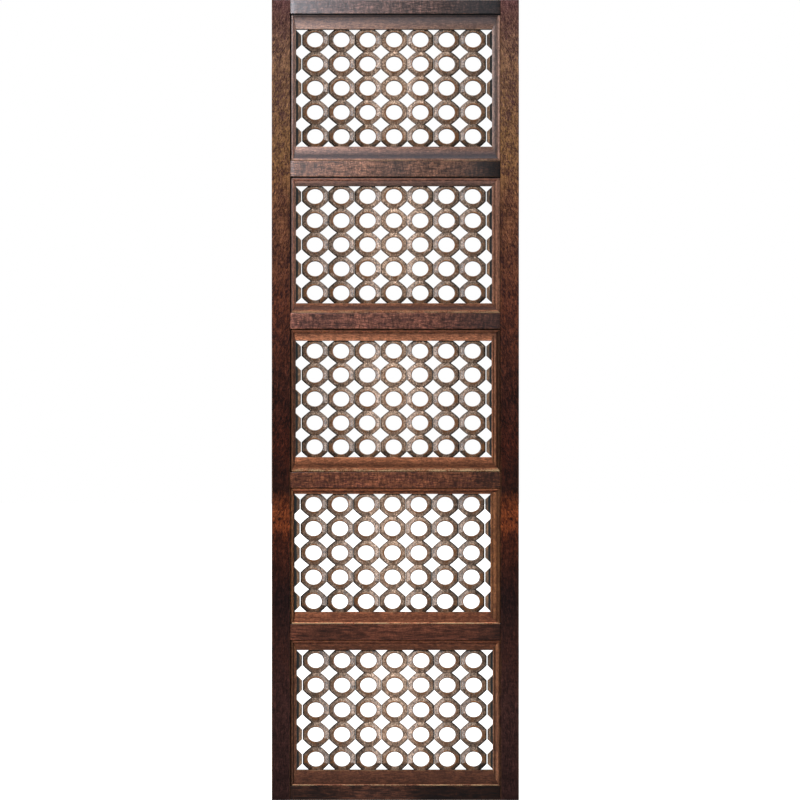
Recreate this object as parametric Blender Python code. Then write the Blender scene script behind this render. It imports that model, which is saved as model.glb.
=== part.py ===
"""Mashrabiya screen panel in stained hardwood.

Two full-height stiles hold six rails. Each of the five bays between the rails has an inner frame of
mitred moulding. A lattice of upright ring slats sits in the groove of that frame, with a narrow strip at
each side.

Lengths are in metres, +Z is up, and the front of the screen faces -Y. Depths are measured from the front
face of the stiles. The origin is in the middle of the top rail's back face, where the panel is fixed.
"""

import math
from collections import namedtuple

import bmesh
import bpy

# Boards of the outer frame
STILE_WIDTH = 0.0423
THICKNESS = 0.036
TOP_RAIL_HEIGHT = 0.0320
MIDDLE_RAIL_HEIGHT = 0.0366
BOTTOM_RAIL_HEIGHT = 0.0332
RAIL_FRONT_DEPTH = 0.0010
EASED_EDGE = 0.0012

# Bays from the top down: their heights, and the moulding that shows above, below and left of each lattice
BAY_HEIGHTS = (0.3363, 0.3111, 0.3271, 0.3111, 0.3328)
MOULDING_ABOVE = (0.0352, 0.0206, 0.0270, 0.0137, 0.0233)
MOULDING_BELOW = (0.0329, 0.0224, 0.0339, 0.0275, 0.0355)
MOULDING_LEFT = (0.0130, 0.0126, 0.0120, 0.0094, 0.0145)
MOULDING_BESIDE = 0.0318

# Lattice of ring slats
COLUMNS = 7
ROWS = 5
SLAT_PITCH = 0.0602
HOLE_WIDTH = 0.0373
HOLE_HEIGHT = 0.0340
SEAM_FLAT = 0.0217
NECK_WIDTH = 0.0208
RIM_DEPTH = 0.0130
VALLEY_DEPTH = 0.0180
SLAT_BACK_DEPTH = 0.0310
STRIP_VISIBLE = 0.0137
STRIP_NOTCH_FLAT = 0.0105
STRIP_GAP = 0.0012

# Moulding of the inner frames
LIP_DEPTH = 0.0040
LIP_WIDTH = 0.0030
QUIRK = 0.0015
COVE_DEPTH = 0.0105
COVE_SHARE = 0.45
COVE_SEGMENTS = 3
SLOPE_END_DEPTH = 0.0120
MOULDING_BACK_DEPTH = 0.0345
GROOVE_REACH = 0.0040

# Gap that touching pieces keep
JOINT = 0.0003

RING_SIDES = 8
OPENING_WIDTH = COLUMNS * SLAT_PITCH + 2 * STRIP_VISIBLE
CLEAR_WIDTH = OPENING_WIDTH + MOULDING_BESIDE
OUTER_WIDTH = CLEAR_WIDTH + 2 * STILE_WIDTH
TOP_Z = TOP_RAIL_HEIGHT / 2
Bay = namedtuple("Bay", "height above below left")
BAYS = [Bay(*sizes) for sizes in zip(BAY_HEIGHTS, MOULDING_ABOVE, MOULDING_BELOW, MOULDING_LEFT)]

# Stain of each kind of piece: sRGB colour, roughness
Stain = namedtuple("Stain", "colour roughness")
STAINS = {
    "stile": Stain("4A2C1D", 0.45),
    "rail": Stain("50352A", 0.45),
    "moulding": Stain("6B4733", 0.40),
    "slat": Stain("75563F", 0.45),
    "strip": Stain("7A4C2C", 0.45),
}


def clear_scene():
    """Remove every object of the open scene."""
    for obj in list(bpy.data.objects):
        bpy.data.objects.remove(obj, do_unlink=True)


def linear(channel):
    """Linear value of one sRGB channel from 0 to 1."""
    if channel <= 0.04045:
        return channel / 12.92
    return ((channel + 0.055) / 1.055) ** 2.4


def stained_wood(kind):
    """Principled material of one kind of piece."""
    stain = STAINS[kind]
    rgb = [linear(int(stain.colour[i : i + 2], 16) / 255) for i in (0, 2, 4)]
    material = bpy.data.materials.new(kind + "_wood")
    material.use_nodes = True
    shader = material.node_tree.nodes["Principled BSDF"]
    shader.inputs["Base Color"].default_value = (*rgb, 1.0)
    shader.inputs["Roughness"].default_value = stain.roughness
    shader.inputs["Metallic"].default_value = 0.0
    return material


def place(name, mesh, location, material):
    """Put a mesh in the scene as a named object with its own material."""
    obj = bpy.data.objects.new(name, mesh)
    obj.location = location
    bpy.context.collection.objects.link(obj)
    mesh.materials.clear()
    mesh.materials.append(material)
    return obj


def mesh_from(bm, name):
    """Mesh of a finished bmesh, with its normals out."""
    bmesh.ops.recalc_face_normals(bm, faces=bm.faces)
    mesh = bpy.data.meshes.new(name)
    bm.to_mesh(mesh)
    bm.free()
    return mesh


def y_of(depth):
    """Y of a depth behind the front face of the stiles."""
    return depth - THICKNESS


def board(name, x_range, z_range, front_depth, material):
    """One straight board with eased edges, its back flush with the back of the screen."""
    size = (x_range[1] - x_range[0], THICKNESS - front_depth, z_range[1] - z_range[0])
    bm = bmesh.new()
    bmesh.ops.create_cube(bm, size=1.0)
    bmesh.ops.scale(bm, vec=size, verts=bm.verts)
    bmesh.ops.bevel(
        bm,
        geom=list(bm.edges),
        offset=min(EASED_EDGE, min(size) / 4),
        segments=1,
        affect="EDGES",
        clamp_overlap=True,
    )
    centre = (sum(x_range) / 2, y_of((front_depth + THICKNESS) / 2), sum(z_range) / 2)
    return place(name, mesh_from(bm, name), centre, material)


def rail_spans():
    """Bottom and top of each rail from the top down, stacked with the bays."""
    heights = [TOP_RAIL_HEIGHT] + [MIDDLE_RAIL_HEIGHT] * (len(BAYS) - 1) + [BOTTOM_RAIL_HEIGHT]
    spans = []
    top = TOP_Z
    for index, height in enumerate(heights):
        spans.append((top - height, top))
        top -= height
        if index < len(BAYS):
            top -= BAYS[index].height
    return spans


def moulding_profile(width):
    """Section of the moulding where it shows this wide: (distance from its outer edge, depth)."""
    cove_start = LIP_WIDTH + QUIRK / 2
    cove_end = cove_start + COVE_SHARE * (width - cove_start)
    points = [(0.0, LIP_DEPTH), (LIP_WIDTH, LIP_DEPTH)]
    for step in range(COVE_SEGMENTS + 1):
        angle = math.pi / 2 * step / COVE_SEGMENTS
        across = cove_start + (cove_end - cove_start) * (1 - math.cos(angle))
        depth = LIP_DEPTH + QUIRK + (COVE_DEPTH - LIP_DEPTH - QUIRK) * math.sin(angle)
        points.append((across, depth))
    groove_bottom = width - GROOVE_REACH - JOINT
    points += [
        (width, SLOPE_END_DEPTH),
        (width, groove_front_depth()),
        (groove_bottom, groove_front_depth()),
        (groove_bottom, SLAT_BACK_DEPTH + JOINT),
        (width, SLAT_BACK_DEPTH + JOINT),
        (width, MOULDING_BACK_DEPTH),
        (0.0, MOULDING_BACK_DEPTH),
    ]
    return points


def groove_front_depth():
    """Depth of the groove's front wall, which clears the facets under the moulding's inner edge."""
    half_pitch = min(ring_pitch(bay) for bay in BAYS) / 2
    facet = half_pitch - HOLE_HEIGHT / 2
    under_edge = (facet - GROOVE_REACH) / facet
    return RIM_DEPTH + (VALLEY_DEPTH - RIM_DEPTH) * under_edge - JOINT


def ring_pitch(bay):
    """Height of one ring, so that a whole number of rings fills the bay from groove to groove."""
    return (bay.height - bay.above - bay.below + 2 * GROOVE_REACH) / ROWS


def inner_frame(name, bay, top, material):
    """The four mitred mouldings of one bay, glued round into one frame."""
    right = MOULDING_BESIDE - bay.left
    outer_left = -CLEAR_WIDTH / 2 + JOINT
    outer_right = CLEAR_WIDTH / 2 - JOINT
    outer_top = top - JOINT
    outer_bottom = top - bay.height + JOINT
    sections = [moulding_profile(width - JOINT) for width in (bay.left, right, bay.above, bay.below)]
    bm = bmesh.new()
    loops = []
    for at_left, at_right, at_top, at_bottom in zip(*sections):
        y = y_of(at_left[1])
        corners = (
            (outer_left + at_left[0], outer_bottom + at_bottom[0]),
            (outer_right - at_right[0], outer_bottom + at_bottom[0]),
            (outer_right - at_right[0], outer_top - at_top[0]),
            (outer_left + at_left[0], outer_top - at_top[0]),
        )
        loops.append([bm.verts.new((x, y, z)) for x, z in corners])
    for near, far in zip(loops, loops[1:] + loops[:1]):
        for i in range(4):
            j = (i + 1) % 4
            bm.faces.new((near[i], near[j], far[j], far[i]))
    return place(name, mesh_from(bm, name), (0.0, 0.0, 0.0), material)


def ring_outline(pitch, width):
    """Eight corners (x, z) of one ring's outline round its centre, anticlockwise from the lower right."""
    side = width / 2
    flat = SEAM_FLAT / 2
    neck = NECK_WIDTH / 2
    end = pitch / 2
    return [
        (side, -flat),
        (side, flat),
        (neck, end),
        (-neck, end),
        (-side, flat),
        (-side, -flat),
        (-neck, -end),
        (neck, -end),
    ]


def hole_outline():
    """Corners (x, z) of the drilled hole, one for each corner of the ring, with the round hole's area."""
    half_side = math.pi / RING_SIDES
    apothem = math.sqrt(math.pi / (RING_SIDES * math.tan(half_side)))
    radius = apothem / math.cos(half_side)
    corners = []
    for index in range(RING_SIDES):
        angle = (2 * index - 1) * half_side
        x = HOLE_WIDTH / 2 * radius * math.cos(angle)
        corners.append((x, HOLE_HEIGHT / 2 * radius * math.sin(angle)))
    return corners


def slat_mesh(name, pitch):
    """One slat of rings, back at y = 0: facets fall from the rim of each hole to the slat's edges."""
    upper_end_side = 2
    lower_end_side = 6
    valley = VALLEY_DEPTH - SLAT_BACK_DEPTH
    rim = RIM_DEPTH - SLAT_BACK_DEPTH
    bm = bmesh.new()
    for row in range(ROWS):
        centre = (row + 0.5) * pitch
        outline = ring_outline(pitch, SLAT_PITCH - JOINT)
        hole = hole_outline()
        edge_front = [bm.verts.new((x, valley, centre + z)) for x, z in outline]
        edge_back = [bm.verts.new((x, 0.0, centre + z)) for x, z in outline]
        rim_front = [bm.verts.new((x, rim, centre + z)) for x, z in hole]
        rim_back = [bm.verts.new((x, 0.0, centre + z)) for x, z in hole]
        open_sides = {upper_end_side} if row < ROWS - 1 else set()
        open_sides |= {lower_end_side} if row > 0 else set()
        for side in range(RING_SIDES):
            following = (side + 1) % RING_SIDES
            loops = [edge_front, rim_front, rim_back, edge_back]
            if side not in open_sides:
                loops.append(edge_front)
            for near, far in zip(loops, loops[1:]):
                bm.faces.new((near[side], near[following], far[following], far[side]))
    bmesh.ops.remove_doubles(bm, verts=bm.verts, dist=1e-6)
    return mesh_from(bm, name)


def strip_outline(pitch):
    """Outline of an edge strip as (x, z, whether on its land): x = 0 in the seam, +X towards the frame."""
    notch = STRIP_VISIBLE - JOINT
    outer = STRIP_VISIBLE + GROOVE_REACH
    notch_end = (pitch - STRIP_NOTCH_FLAT) / 2
    points = [(notch, 0.0, True)]
    for row in range(ROWS):
        centre = (row + 0.5) * pitch
        points += [
            (notch, centre - notch_end, True),
            (STRIP_GAP, centre - SEAM_FLAT / 2, False),
            (STRIP_GAP, centre + SEAM_FLAT / 2, False),
            (notch, centre + notch_end, True),
        ]
    return points + [(notch, ROWS * pitch, True), (outer, ROWS * pitch, True), (outer, 0.0, True)]


def strip_mesh(name, pitch, towards):
    """One edge strip, whose teeth slope from a level land to the seam. towards: sign of X at its frame."""
    land = groove_front_depth() + JOINT - SLAT_BACK_DEPTH
    valley = VALLEY_DEPTH - SLAT_BACK_DEPTH
    bm = bmesh.new()
    front = []
    back = []
    for x, z, on_land in strip_outline(pitch):
        front.append(bm.verts.new((towards * x, land if on_land else valley, z)))
        back.append(bm.verts.new((towards * x, 0.0, z)))
    for i in range(len(front)):
        j = (i + 1) % len(front)
        bm.faces.new((front[i], front[j], back[j], back[i]))
    for side in (front, back):
        teeth = [side[4 * row + 1 : 4 * row + 5] for row in range(ROWS)]
        land_edge = [corner for tooth in teeth for corner in (tooth[0], tooth[-1])]
        bm.faces.new([side[0]] + land_edge + side[-3:])
        for tooth in teeth:
            bm.faces.new(tooth)
    return mesh_from(bm, name)


def lattice(number, bay, top, materials):
    """The ring slats and the two edge strips of one bay."""
    pitch = ring_pitch(bay)
    bottom = top - bay.height + bay.below - GROOVE_REACH
    opening_left = -CLEAR_WIDTH / 2 + bay.left
    first_seam = opening_left + STRIP_VISIBLE
    y = y_of(SLAT_BACK_DEPTH)
    shared = slat_mesh(f"slat_{number}", pitch)
    for column in range(COLUMNS):
        x = first_seam + (column + 0.5) * SLAT_PITCH
        place(f"slat_{number}_{column + 1}", shared, (x, y, bottom), materials["slat"])
    seams = {"left": (first_seam, -1), "right": (first_seam + COLUMNS * SLAT_PITCH, 1)}
    for side, (x, towards) in seams.items():
        name = f"edge_strip_{number}_{side}"
        place(name, strip_mesh(name, pitch, towards), (x, y, bottom), materials["strip"])


def outer_frame(materials):
    """Stiles and rails."""
    spans = rail_spans()
    bottom, top = spans[-1][0], spans[0][1]
    inner = CLEAR_WIDTH / 2
    outer = OUTER_WIDTH / 2
    board("stile_left", (-outer, -inner), (bottom, top), 0.0, materials["stile"])
    board("stile_right", (inner, outer), (bottom, top), 0.0, materials["stile"])
    names = ["rail_top"] + [f"rail_{i + 1}" for i in range(len(BAYS) - 1)] + ["rail_bottom"]
    across = (-inner + JOINT, inner - JOINT)
    for name, span in zip(names, spans):
        board(name, across, span, RAIL_FRONT_DEPTH, materials["rail"])
    return spans


def build():
    """The whole panel."""
    clear_scene()
    materials = {kind: stained_wood(kind) for kind in STAINS}
    spans = outer_frame(materials)
    for number, (bay, above) in enumerate(zip(BAYS, spans), start=1):
        top = above[0]
        inner_frame(f"inner_frame_{number}", bay, top, materials["moulding"])
        lattice(number, bay, top, materials)


build()
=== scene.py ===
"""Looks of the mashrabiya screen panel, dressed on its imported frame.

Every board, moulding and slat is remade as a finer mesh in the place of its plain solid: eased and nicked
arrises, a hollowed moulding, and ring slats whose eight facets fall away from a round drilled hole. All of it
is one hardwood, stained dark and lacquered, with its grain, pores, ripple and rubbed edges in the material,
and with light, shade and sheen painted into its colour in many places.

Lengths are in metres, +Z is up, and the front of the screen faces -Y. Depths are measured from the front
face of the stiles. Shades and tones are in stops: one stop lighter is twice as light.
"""

import logging
import math
import random
from dataclasses import dataclass, field, replace
from enum import Enum
from functools import partial
from typing import Callable, Iterator, Sequence

import bmesh
import bpy
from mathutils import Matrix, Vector, noise


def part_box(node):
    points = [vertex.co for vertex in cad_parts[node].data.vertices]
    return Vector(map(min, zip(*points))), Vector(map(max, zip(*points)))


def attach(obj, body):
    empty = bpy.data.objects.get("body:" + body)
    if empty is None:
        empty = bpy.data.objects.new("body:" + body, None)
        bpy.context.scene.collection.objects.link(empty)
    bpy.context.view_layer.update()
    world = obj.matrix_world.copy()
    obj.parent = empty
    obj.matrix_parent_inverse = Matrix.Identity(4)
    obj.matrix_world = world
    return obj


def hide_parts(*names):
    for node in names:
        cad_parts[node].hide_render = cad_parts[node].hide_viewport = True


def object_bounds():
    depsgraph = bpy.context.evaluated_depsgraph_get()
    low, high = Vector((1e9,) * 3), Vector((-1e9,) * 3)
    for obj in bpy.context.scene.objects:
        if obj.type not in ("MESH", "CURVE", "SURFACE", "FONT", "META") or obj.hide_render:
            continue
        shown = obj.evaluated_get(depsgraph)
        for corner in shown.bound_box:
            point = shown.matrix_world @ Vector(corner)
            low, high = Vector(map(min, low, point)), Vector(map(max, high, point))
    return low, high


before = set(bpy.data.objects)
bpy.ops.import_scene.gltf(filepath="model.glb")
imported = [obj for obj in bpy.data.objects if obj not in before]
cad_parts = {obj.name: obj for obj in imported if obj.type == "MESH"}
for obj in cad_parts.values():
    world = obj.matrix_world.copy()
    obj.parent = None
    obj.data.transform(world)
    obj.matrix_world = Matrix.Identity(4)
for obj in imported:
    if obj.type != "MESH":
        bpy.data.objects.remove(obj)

LOG = logging.getLogger("screen")
CAD_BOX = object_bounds()
FRONT_Y = CAD_BOX[0].y
BAYS = 5
COLUMNS = 7
ROWS = 5
MIDDLE_COLUMN = 4
# How much of an edge strip shows beside the slats
STRIP_VISIBLE = 0.0137
# Stops darker of wood that no light reaches
DARK = -5.0
# Sockets of a colour Mix node
MIX_FACTOR, MIX_A, MIX_B, MIXED = 0, 6, 7, 2
# Values of a noise pattern that are drawn darkest and lightest
FAINT, STRONG = 0.35, 0.65
# Values that each mesh carries for its material: wear with painted highlights, dirt with painted shade and
# sheen, and stops of painted light and shade
LAYERS = ("seed", "wear", "recess", "shade", "tone")

Point = tuple[float, float]
Colour = tuple[float, float, float, float]
Socket = bpy.types.NodeSocket
Piece = bpy.types.Object
WHITE: Colour = (1.0, 1.0, 1.0, 1.0)


def linear(hex_colour: str) -> Colour:
    """Linear colour of an sRGB hex value.

    Args:
        hex_colour: six hex digits, such as "6B4733".

    Returns:
        Red, green and blue from 0 to 1, and an alpha of 1.
    """
    channels = [int(hex_colour[i : i + 2], 16) / 255 for i in (0, 2, 4)]
    red, green, blue = (c / 12.92 if c <= 0.04045 else ((c + 0.055) / 1.055) ** 2.4 for c in channels)
    return red, green, blue, 1.0


def add(
    tree: bpy.types.NodeTree,
    kind: str,
    inputs: dict[str | int, object] | None = None,
    output: str | int = 0,
    stops: Sequence[tuple[float, Colour]] = (),
    **settings: str | bool,
) -> Socket | None:
    """Add a node to a tree with its settings and links.

    Args:
        tree: the tree that takes the node.
        kind: the node's type name, without the word that all of them begin with.
        inputs: value or linked output for each input, by its name or number.
        output: the output that is wanted of it, by its name or number.
        stops: position and colour of each stop, on a colour ramp.
        settings: other properties of the node.

    Returns:
        The output, or None from a node that has none.
    """
    node = tree.nodes.new("ShaderNode" + kind)
    for name, value in settings.items():
        setattr(node, name, value)
    for key, value in (inputs or {}).items():
        if isinstance(value, Socket):
            tree.links.new(value, node.inputs[key])
        else:
            node.inputs[key].default_value = value
    for index, (position, colour) in enumerate(stops):
        elements = node.color_ramp.elements
        stop = elements[index] if index < len(elements) else elements.new(position)
        stop.position = position
        stop.color = colour
    return node.outputs[output] if len(node.outputs) else None


def new_material(name: str) -> tuple[bpy.types.Material, Callable]:
    """Make an empty material.

    Args:
        name: the material's name.

    Returns:
        The material, and add() for the material's own tree.
    """
    material = bpy.data.materials.new(name)
    material.use_nodes = True
    material.node_tree.nodes.clear()
    return material, partial(add, material.node_tree)


def put_in_scene(name: str, data: bpy.types.ID) -> Piece:
    """Make an object and link it into the scene.

    Args:
        name: the object's name.
        data: its mesh, light or camera.

    Returns:
        The object.
    """
    made = bpy.data.objects.new(name, data)
    bpy.context.scene.collection.objects.link(made)
    return made


def mix(low: float, high: float, share: float) -> float:
    """Value at a share of the way from low to high."""
    return low + (high - low) * share


class Fibre(Enum):
    """Which way the fibres of a piece of wood run, by the number of that axis."""

    LEVEL = 0
    UPRIGHT = 2


@dataclass(frozen=True)
class StainedHardwood:
    """Mango or sheesham hardwood, sawn, sanded, stained dark walnut and finished with a satin lacquer.

    What that gives the eye: short dark pores and paler fibres along the piece, ripples of light across them,
    golden streaks where the stain took less, and arrises that are rubbed through to a warmer brown.

    stains holds, for some shares of the panel's height, the colours of the darker and of the lighter grain.
    Each knot is its distance from the panel's middle line, how far it is below the wall fixing, and its
    radius.
    """

    name: str
    fibre: Fibre
    stains: tuple[tuple[float, str, str], ...]
    # Colour of rubbed arrises; it also paints highlights on the mouldings' lips and inner edges, and warm
    # brown on the slats' facets that face away from the lights
    rubbed: str = "A5744A"
    # Colour of dirt in joints and of painted shade in holes, grooves and outlines; on the mouldings a grey
    # that paints the lacquer's sheen in the hollows
    dirt_shade_and_sheen_colour: str = "0E0A09"
    figure_width: float = 0.0030
    figure_length: float = 0.0130
    figure_edges: Point = (0.44, 0.56)
    slant: float = 0.0
    curl: float = 1.4
    curls: float = 0.0
    curl_size: Point = (0.009, 0.020)
    curl_depth: float = 0.28
    fibre_width: float = 0.0024
    fibre_length: float = 0.020
    grain_depth: float = 0.40
    fleck_size: Point = (0.0024, 0.00312)
    fleck: float = 0.30
    ripple_pitch: float = 0.0045
    ripple: float = 0.20
    ripple_relief: float = 0.0
    patch_size: Point = (0.020, 0.040)
    patch: float = 0.30
    warp: float = 0.0
    rub: float = 0.6
    rub_edges: Point = (0.70, 1.0)
    relief: float = 0.00025
    roughness: Point = (0.38, 0.50)
    specular: float = 0.5
    knots: tuple[tuple[float, float, float], ...] = ()
    knot_colour: str = "0C0605"
    bookmatched: bool = False

    def material(self) -> bpy.types.Material:
        """Build the material: stain colour by height, grain, wear, dirt and painted light and shade by the
        mesh's own values, and relief.

        Returns:
            The material.
        """
        material, node = new_material(self.name)
        place = node("TexCoord", output="Object")
        log = node("VectorMath", {0: place}, operation="ABSOLUTE") if self.bookmatched else place
        mesh = {layer: node("Attribute", output="Fac", attribute_name=layer) for layer in LAYERS}
        own = node("VectorMath", {0: mesh["seed"], 1: (0.71, 0.37, 0.53), 2: log}, operation="MULTIPLY_ADD")
        fibres = (self.fibre_width, self.fibre_length)
        ripples = (self.ripple_pitch * 3.5, self.ripple_pitch)
        marks = {
            "fibres": self.pattern(node, own, fibres, 3.0, self.curl * 0.6),
            "flecks": self.pattern(node, own, self.fleck_size, 1.0, 0.4),
            "ripples": self.pattern(node, own, ripples, 2.0, 0.6),
            "patches": self.pattern(node, own, self.patch_size, 2.0, 0.5),
        }
        colour = self.stained(node, place, own, marks)
        if self.knots:
            colour = self.knotted(node, log, marks["flecks"], colour)
        surface = {
            "Base Color": self.aged(node, mesh, marks, colour),
            "Roughness": self.lacquered(node, mesh, marks["fibres"]),
            "Normal": self.relieved(node, marks),
            "IOR": 1.5,
            "Specular IOR Level": self.specular,
        }
        node("OutputMaterial", {"Surface": node("BsdfPrincipled", surface)})
        return material

    def pattern(self, node: Callable, place: Socket, size: Point, detail: float, distortion: float) -> Socket:
        """Noise stretched to the real size of its marks.

        Args:
            node: adds a node to the material.
            place: coordinates in metres.
            size: width and length of a mark, across the fibres and along them.
            detail: octaves of finer marks.
            distortion: how far the marks are bent.

        Returns:
            The noise's value.
        """
        scale = [1 / size[0]] * 3
        scale[self.fibre.value] = 1 / size[1]
        stretched = node("VectorMath", {0: place, 1: scale}, operation="MULTIPLY")
        settings = {"Vector": stretched, "Scale": 1.0, "Detail": detail, "Distortion": distortion}
        return node("TexNoise", settings, "Fac")

    def stained(self, node: Callable, place: Socket, own: Socket, marks: dict[str, Socket]) -> Socket:
        """Stain over the figure of the wood.

        Args:
            node: adds a node to the material.
            place: coordinates on the panel.
            own: coordinates in the piece's own part of the log.
            marks: the patterns of the grain.

        Returns:
            The colour of the sound wood.
        """
        height = node("SeparateXYZ", {0: place}, "Z")
        lean = node("Math", {0: height, 1: self.slant}, operation="MULTIPLY")
        leaning = node("VectorMath", {0: own, 1: node("CombineXYZ", {0: lean})}, operation="ADD")
        figure = self.pattern(node, leaning, (self.figure_width, self.figure_length), 0.5, self.curl)
        drift = node("Math", {0: marks["patches"], 1: self.patch, 2: figure}, operation="MULTIPLY_ADD")
        low, high = (edge + self.patch / 2 for edge in self.figure_edges)
        share = node("MapRange", {"Value": drift, "From Min": low, "From Max": high})
        if self.curls:
            swirl = self.pattern(node, leaning, self.curl_size, 1.0, 0.9)
            swirl = node("Math", {0: swirl, 1: self.curls}, operation="MULTIPLY")
            rings = {0: node("Math", {0: swirl}, operation="SINE"), 1: self.curl_depth, 2: share}
            share = node("Math", rings, operation="MULTIPLY_ADD", use_clamp=True)
        level = node("Math", {0: marks["patches"], 1: self.warp, 2: height}, operation="MULTIPLY_ADD")
        low, high = (corner.z + self.warp / 2 for corner in CAD_BOX)
        level = node("MapRange", {"Value": level, "From Min": low, "From Max": high})
        dark, light = (
            node("ValToRGB", {0: level}, stops=[(stain[0], linear(stain[tint])) for stain in self.stains])
            for tint in (1, 2)
        )
        colour = node("Mix", {MIX_FACTOR: share, MIX_A: dark, MIX_B: light}, MIXED, data_type="RGBA")
        for name, depth in (("fibres", self.grain_depth), ("ripples", self.ripple), ("flecks", self.fleck)):
            limits = {"From Min": FAINT, "From Max": STRONG, "To Min": 1 - depth, "To Max": 1 + depth}
            factor = node("MapRange", {"Value": marks[name], **limits})
            colour = node("VectorMath", {0: colour, "Scale": factor}, operation="SCALE")
        return colour

    def knotted(self, node: Callable, log: Socket, flecks: Socket, colour: Socket) -> Socket:
        """Knots in their places on the panel.

        Args:
            node: adds a node to the material.
            log: coordinates that are alike on both halves of the panel.
            flecks: pattern that makes a knot's edge ragged.
            colour: the colour of the sound wood.

        Returns:
            The colour with the knots.
        """
        flat = node("VectorMath", {0: log, 1: (1.0, 0.0, 1.0)}, operation="MULTIPLY")
        for across, up, radius in self.knots:
            away = node("VectorMath", {0: flat, 1: (across, 0.0, up)}, "Value", operation="DISTANCE")
            ragged = node("Math", {0: flecks, 1: 0.004, 2: away}, operation="MULTIPLY_ADD")
            limits = {"From Min": radius + 0.0035, "From Max": radius * 0.3 + 0.001}
            knot = node("MapRange", {"Value": ragged, **limits})
            inputs = {MIX_FACTOR: knot, MIX_A: colour, MIX_B: linear(self.knot_colour)}
            colour = node("Mix", inputs, MIXED, data_type="RGBA")
        return colour

    def aged(
        self, node: Callable, mesh: dict[str, Socket], marks: dict[str, Socket], colour: Socket
    ) -> Socket:
        """Painted light and shade in stops, uneven stain, rubbed arrises and painted highlights, and dirt,
        painted shade and sheen.

        Args:
            node: adds a node to the material.
            mesh: the values that the mesh carries.
            marks: the patterns of the grain.
            colour: the colour of the wood.

        Returns:
            The colour with its wear, dirt and painted light and shade.
        """
        # Painted light and shade: the mesh's tone and shade stops lighten and darken the stain
        lighter = node("Math", {0: mesh["tone"], 1: mesh["shade"]}, operation="ADD")
        strength = node("Math", {0: 2.0, 1: lighter}, operation="POWER")
        colour = node("VectorMath", {0: colour, "Scale": strength}, operation="SCALE")
        spots = node("Math", {0: marks["flecks"], 1: 0.7, 2: marks["patches"]}, operation="MULTIPLY_ADD")
        low, high = self.rub_edges
        uneven = node("MapRange", {"Value": spots, "From Min": low, "From Max": high})
        wear_and_highlight = node("Math", {0: mesh["wear"], 1: uneven}, operation="MULTIPLY")
        rubbed = node("Math", {0: wear_and_highlight, 1: self.rub}, operation="MULTIPLY")
        # Toward the rubbed colour for wear, painted highlights and painted warmth, then toward the dark and
        # grey colour for dirt, painted shade and painted sheen
        for share, goal in ((rubbed, self.rubbed), (mesh["recess"], self.dirt_shade_and_sheen_colour)):
            inputs = {MIX_FACTOR: share, MIX_A: colour, MIX_B: linear(goal)}
            colour = node("Mix", inputs, MIXED, data_type="RGBA")
        return colour

    def lacquered(self, node: Callable, mesh: dict[str, Socket], fibres: Socket) -> Socket:
        """Roughness of the lacquer: uneven along the fibres, and dull in dark places and recesses.

        Args:
            node: adds a node to the material.
            mesh: the values that the mesh carries.
            fibres: the pattern of the fibres.

        Returns:
            The roughness.
        """
        low, high = self.roughness
        limits = {"From Min": 0.3, "From Max": 0.7, "To Min": low, "To Max": high}
        roughness = node("MapRange", {"Value": fibres, **limits})
        dark = node("Math", {0: mesh["shade"], 1: 0.0}, operation="MINIMUM")
        roughness = node("Math", {0: dark, 1: -0.15, 2: roughness}, operation="MULTIPLY_ADD")
        return node("Math", {0: mesh["recess"], 1: 0.6, 2: roughness}, operation="MULTIPLY_ADD")

    def relieved(self, node: Callable, marks: dict[str, Socket]) -> Socket:
        """Relief of fibres, pores and ripples under the lacquer. Real pores are 0.2 mm wide, too fine to show
        here, so the marks are drawn about ten times as coarse.

        Args:
            node: adds a node to the material.
            marks: the patterns of the grain.

        Returns:
            The normal.
        """
        height = node("Math", {0: marks["flecks"], 1: 0.5, 2: marks["fibres"]}, operation="MULTIPLY_ADD")
        ripples = {0: marks["ripples"], 1: self.ripple_relief, 2: height}
        height = node("Math", ripples, operation="MULTIPLY_ADD")
        return node("Bump", {"Height": height, "Strength": 0.6, "Distance": self.relief})


@dataclass(frozen=True)
class PalePlaster:
    """Matt studio floor: an even pale ground that shows only a soft shadow at the panel's foot."""

    name: str = "pale_floor"
    colour: str = "F4F2EF"
    glow: float = 0.90

    def material(self) -> bpy.types.Material:
        """Build the material.

        Returns:
            The material.
        """
        material, node = new_material(self.name)
        place = node("TexCoord", output="Object")
        cloud = node("TexNoise", {"Vector": place, "Scale": 0.8, "Detail": 2.0}, "Fac")
        surface = {
            "Base Color": node("ValToRGB", {0: cloud}, stops=[(0.0, linear(self.colour)), (1.0, WHITE)]),
            "Roughness": 0.9,
            "Specular IOR Level": 0.1,
            "Emission Color": WHITE,
            "Emission Strength": self.glow,
        }
        node("OutputMaterial", {"Surface": node("BsdfPrincipled", surface)})
        return material


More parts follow.
